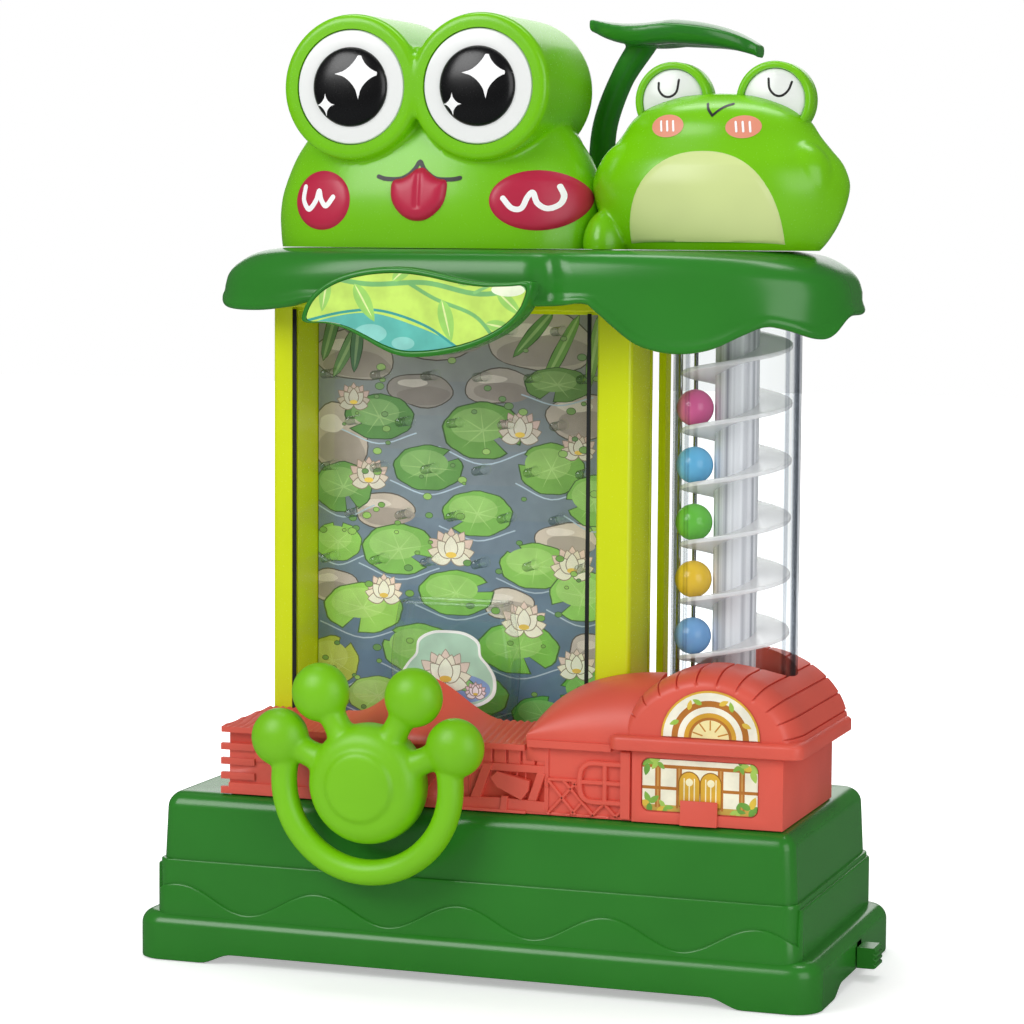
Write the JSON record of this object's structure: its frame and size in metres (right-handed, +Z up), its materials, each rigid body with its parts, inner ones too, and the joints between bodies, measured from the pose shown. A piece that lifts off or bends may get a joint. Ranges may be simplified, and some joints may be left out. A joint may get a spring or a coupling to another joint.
{
  "type": "ball catching game",
  "caption": "Tabletop ball catching game with a frog-topped leaf canopy, pegged play field, screw lift tower, paw handle and sliding bucket.",
  "frame": {"origin": "centre of the bounding box in plan, on the surface the game stands on", "axes": "+Z up, -Y towards the player, +X to the player's right"},
  "size_m": [0.2592, 0.1336, 0.337],
  "materials": {
    "dark_green": "glossy",
    "bright_green": "glossy",
    "lime_green": "glossy",
    "yellow": "glossy",
    "red": "satin",
    "crimson": "satin",
    "cream": "satin",
    "white": "glossy",
    "black": "glossy",
    "print": "matte",
    "pale_print": "matte",
    "grey": "satin",
    "board": "satin",
    "steel": "polished",
    "clear": "glossy",
    "blue_ball": "glossy",
    "yellow_ball": "glossy",
    "green_ball": "glossy",
    "light_blue_ball": "glossy",
    "pink_ball": "glossy"
  },
  "bodies": {
    "game_body": {"base_shell": "dark_green", "base_floor": "dark_green", "battery_door": "dark_green", "circuit_board": "board", "speaker": "grey", "power_switch_body": "grey", "gear_motor": "grey", "house_walls": "red", "ruin_roof": "red", "barn_roof": "red", "roof_sticker": "pale_print", "gate_sticker": "pale_print", "shaft_bracket": "grey", "catcher_rail": "steel", "cabinet_frame": "yellow", "cabinet_back": "yellow", "backdrop_card": "print", "peg_panel": "clear", "window_pane": "clear", "return_ramp": "red", "rear_post": "yellow", "tower_tube": "clear", "ball_guide_rod_1": "steel", "ball_guide_rod_2": "steel", "leaf_canopy": "dark_green", "badge_panel": "pale_print", "canopy_lining": "dark_green", "top_channel": "white", "frog_head": "bright_green", "eye_white_left": "white", "pupil_left": "black", "cheek_left": "crimson", "eye_white_right": "white", "pupil_right": "black", "cheek_right": "crimson", "frog_tongue": "crimson", "little_frog_body": "bright_green", "little_frog_belly": "cream", "little_eye_left": "white", "little_eye_right": "white", "leaf_parasol": "dark_green"},
    "handle": {"paw_handle": "lime_green", "handle_shaft": "steel", "handle_pinion": "white"},
    "catcher": {"catcher_carriage": "white", "catcher_bucket": "clear", "catcher_label": "pale_print"},
    "lift": {"lift_screw": "white", "screw_spindle": "steel", "screw_gear": "white"},
    "motor_pinion": {"drive_pinion": "white"},
    "power_knob": {"power_switch_knob": "dark_green"},
    "ball_1": {"ball_1": "blue_ball"},
    "ball_2": {"ball_2": "yellow_ball"},
    "ball_3": {"ball_3": "green_ball"},
    "ball_4": {"ball_4": "light_blue_ball"},
    "ball_5": {"ball_5": "pink_ball"}
  },
  "joints": [
    {"name": "handle_turn", "type": "hinge", "parent": "game_body", "child": "handle", "pos_m": [-0.03625, -0.05115, 0.0703], "axis": [0, 1, 0], "range_deg": [-105, 105]},
    {"name": "catcher_slide", "type": "slide", "parent": "game_body", "child": "catcher", "axis": [1, 0, 0], "range_m": [-0.0193, 0.0193]},
    {"name": "lift_turn", "type": "hinge", "parent": "game_body", "child": "lift", "pos_m": [0.07835, 0.00285, 0.05], "axis": [0, 0, -1], "range_deg": [0, 360]},
    {"name": "motor_pinion_turn", "type": "hinge", "parent": "game_body", "child": "motor_pinion", "pos_m": [0.0546, 0.00285, 0.05], "axis": [0, 0, -1], "range_deg": [-1008.1, 0.1]},
    {"name": "power_knob_slide", "type": "slide", "parent": "game_body", "child": "power_knob", "axis": [0, 0, 1], "range_m": [0, 0.0026]},
    {"name": "ball_1_rise", "type": "slide", "parent": "game_body", "child": "ball_1", "axis": [0, 0, 1], "range_m": [0, 0.02001]},
    {"name": "ball_2_rise", "type": "slide", "parent": "game_body", "child": "ball_2", "axis": [0, 0, 1], "range_m": [0, 0.02001]},
    {"name": "ball_3_rise", "type": "slide", "parent": "game_body", "child": "ball_3", "axis": [0, 0, 1], "range_m": [0, 0.02001]},
    {"name": "ball_4_rise", "type": "slide", "parent": "game_body", "child": "ball_4", "axis": [0, 0, 1], "range_m": [0, 0.02001]},
    {"name": "ball_5_rise", "type": "slide", "parent": "game_body", "child": "ball_5", "axis": [0, 0, 1], "range_m": [0, 0.02001]}
  ],
  "couplings": [
    {"joint": "catcher_slide", "follows": "handle_turn", "m_per_rad": 0.0105},
    {"joint": "motor_pinion_turn", "follows": "lift_turn", "ratio": -2.8},
    {"joint": "ball_1_rise", "follows": "lift_turn", "m_per_rad": 0.0031831},
    {"joint": "ball_2_rise", "follows": "lift_turn", "m_per_rad": 0.0031831},
    {"joint": "ball_3_rise", "follows": "lift_turn", "m_per_rad": 0.0031831},
    {"joint": "ball_4_rise", "follows": "lift_turn", "m_per_rad": 0.0031831},
    {"joint": "ball_5_rise", "follows": "lift_turn", "m_per_rad": 0.0031831}
  ]
}
